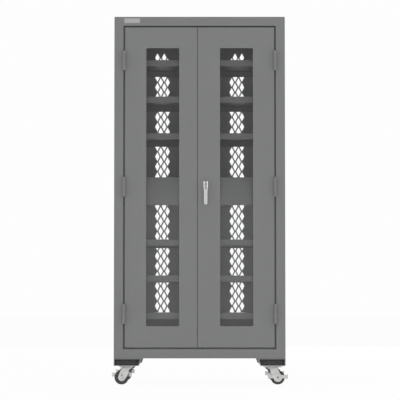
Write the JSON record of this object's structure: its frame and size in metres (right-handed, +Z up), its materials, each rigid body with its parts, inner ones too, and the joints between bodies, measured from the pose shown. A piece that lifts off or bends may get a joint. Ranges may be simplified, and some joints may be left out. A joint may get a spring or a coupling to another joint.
{
  "type": "mobile charging cabinet",
  "caption": "Tall steel charging cabinet on swivel casters, with windowed double doors, a latch lever, shelves, outlet strips and a back sheet with diamond vents.",
  "frame": {"origin": "on the floor, under the middle of the bounding box", "axes": "+Z up along the cabinet's height, -Y out of the doors, +X to the right of someone facing them"},
  "size_m": [0.9414, 0.6346, 1.9698],
  "materials": {
    "body_paint": "satin mid-grey powder coat",
    "zinc": "bright zinc plating",
    "chrome": "polished chrome plating",
    "tread": "matt dark grey rubber",
    "clear_sheet": "clear polycarbonate sheet",
    "black_plastic": "matt black moulded plastic"
  },
  "bodies": {
    "cabinet": {"side_panel_left": "body_paint", "side_panel_right": "body_paint", "top_panel": "body_paint", "floor_pan": "body_paint", "back_panel": "body_paint", "stile_left": "body_paint", "stile_right": "body_paint", "header": "body_paint", "sill": "body_paint", "shelf_1": "body_paint", "shelf_2": "body_paint", "shelf_3": "body_paint", "shelf_4": "body_paint", "shelf_5": "body_paint", "shelf_6": "body_paint", "shelf_7": "body_paint", "wiring_cover": "body_paint", "shelf_post_left_front": "zinc", "shelf_post_left_rear": "zinc", "shelf_post_right_front": "zinc", "shelf_post_right_rear": "zinc", "power_strip_upper": "black_plastic", "power_strip_lower": "black_plastic", "power_inlet": "black_plastic", "riser_left_front": "body_paint", "riser_left_rear": "body_paint", "riser_right_front": "body_paint", "riser_right_rear": "body_paint", "caster_plate_left_front": "zinc", "caster_plate_left_rear": "zinc", "caster_plate_right_front": "zinc", "caster_plate_right_rear": "zinc"},
    "left_door": {"door_left": "body_paint", "window_pane_left": "clear_sheet", "hinge_left_top": "body_paint", "hinge_left_middle": "body_paint", "hinge_left_bottom": "body_paint"},
    "right_door": {"door_right": "body_paint", "window_pane_right": "clear_sheet", "hinge_right_top": "body_paint", "hinge_right_middle": "body_paint", "hinge_right_bottom": "body_paint"},
    "handle": {"handle": "chrome", "latch_cam": "zinc"},
    "lock_plug": {"lock_plug": "chrome"},
    "upper_rod": {"latch_rod_upper": "zinc"},
    "lower_rod": {"latch_rod_lower": "zinc"},
    "fork_left_front": {"fork_left_front": "zinc"},
    "wheel_left_front": {"wheel_left_front": "tread"},
    "brake_lever_left_front": {"brake_lever_left_front": "zinc"},
    "fork_left_rear": {"fork_left_rear": "zinc"},
    "wheel_left_rear": {"wheel_left_rear": "tread"},
    "brake_lever_left_rear": {"brake_lever_left_rear": "zinc"},
    "fork_right_front": {"fork_right_front": "zinc"},
    "wheel_right_front": {"wheel_right_front": "tread"},
    "brake_lever_right_front": {"brake_lever_right_front": "zinc"},
    "fork_right_rear": {"fork_right_rear": "zinc"},
    "wheel_right_rear": {"wheel_right_rear": "tread"},
    "brake_lever_right_rear": {"brake_lever_right_rear": "zinc"}
  },
  "joints": [
    {"name": "left_door_hinge", "type": "hinge", "parent": "cabinet", "child": "left_door", "pos_m": [-0.40395, -0.3013, 1.0554], "axis": [0, 0, -1], "range_deg": [0, 180]},
    {"name": "right_door_hinge", "type": "hinge", "parent": "cabinet", "child": "right_door", "pos_m": [0.40395, -0.3013, 1.0554], "axis": [0, 0, 1], "range_deg": [0, 180]},
    {"name": "handle_turn", "type": "hinge", "parent": "right_door", "child": "handle", "pos_m": [0.0326, -0.2923, 1.0554], "axis": [0, -1, 0], "range_deg": [0, 90]},
    {"name": "lock_plug_turn", "type": "hinge", "parent": "handle", "child": "lock_plug", "pos_m": [0.0326, -0.3173, 1.0554], "axis": [0, -1, 0], "range_deg": [0, 90]},
    {"name": "upper_rod_slide", "type": "slide", "parent": "right_door", "child": "upper_rod", "axis": [0, 0, 1], "range_m": [0, 0.02]},
    {"name": "lower_rod_slide", "type": "slide", "parent": "right_door", "child": "lower_rod", "axis": [0, 0, -1], "range_m": [0, 0.02]},
    {"name": "swivel_left_front", "type": "hinge", "parent": "cabinet", "child": "fork_left_front", "pos_m": [-0.3907, -0.2258, 0.09], "axis": [0, 0, 1], "continuous": true},
    {"name": "wheel_spin_left_front", "type": "hinge", "parent": "fork_left_front", "child": "wheel_left_front", "pos_m": [-0.4177, -0.2258, 0.0381], "axis": [0, 1, 0], "continuous": true},
    {"name": "brake_press_left_front", "type": "hinge", "parent": "fork_left_front", "child": "brake_lever_left_front", "pos_m": [-0.4177, -0.2258, 0.0381], "axis": [0, -1, 0], "range_deg": [0, 15]},
    {"name": "swivel_left_rear", "type": "hinge", "parent": "cabinet", "child": "fork_left_rear", "pos_m": [-0.3907, 0.2508, 0.09], "axis": [0, 0, 1], "continuous": true},
    {"name": "wheel_spin_left_rear", "type": "hinge", "parent": "fork_left_rear", "child": "wheel_left_rear", "pos_m": [-0.4177, 0.2508, 0.0381], "axis": [0, 1, 0], "continuous": true},
    {"name": "brake_press_left_rear", "type": "hinge", "parent": "fork_left_rear", "child": "brake_lever_left_rear", "pos_m": [-0.4177, 0.2508, 0.0381], "axis": [0, -1, 0], "range_deg": [0, 15]},
    {"name": "swivel_right_front", "type": "hinge", "parent": "cabinet", "child": "fork_right_front", "pos_m": [0.3907, -0.2258, 0.09], "axis": [0, 0, 1], "continuous": true},
    {"name": "wheel_spin_right_front", "type": "hinge", "parent": "fork_right_front", "child": "wheel_right_front", "pos_m": [0.4177, -0.2258, 0.0381], "axis": [0, 1, 0], "continuous": true},
    {"name": "brake_press_right_front", "type": "hinge", "parent": "fork_right_front", "child": "brake_lever_right_front", "pos_m": [0.4177, -0.2258, 0.0381], "axis": [0, 1, 0], "range_deg": [0, 15]},
    {"name": "swivel_right_rear", "type": "hinge", "parent": "cabinet", "child": "fork_right_rear", "pos_m": [0.3907, 0.2508, 0.09], "axis": [0, 0, 1], "continuous": true},
    {"name": "wheel_spin_right_rear", "type": "hinge", "parent": "fork_right_rear", "child": "wheel_right_rear", "pos_m": [0.4177, 0.2508, 0.0381], "axis": [0, 1, 0], "continuous": true},
    {"name": "brake_press_right_rear", "type": "hinge", "parent": "fork_right_rear", "child": "brake_lever_right_rear", "pos_m": [0.4177, 0.2508, 0.0381], "axis": [0, 1, 0], "range_deg": [0, 15]}
  ],
  "couplings": [
    {"joint": "upper_rod_slide", "follows": "handle_turn", "m_per_rad": 0.012732},
    {"joint": "lower_rod_slide", "follows": "handle_turn", "m_per_rad": 0.012732}
  ]
}
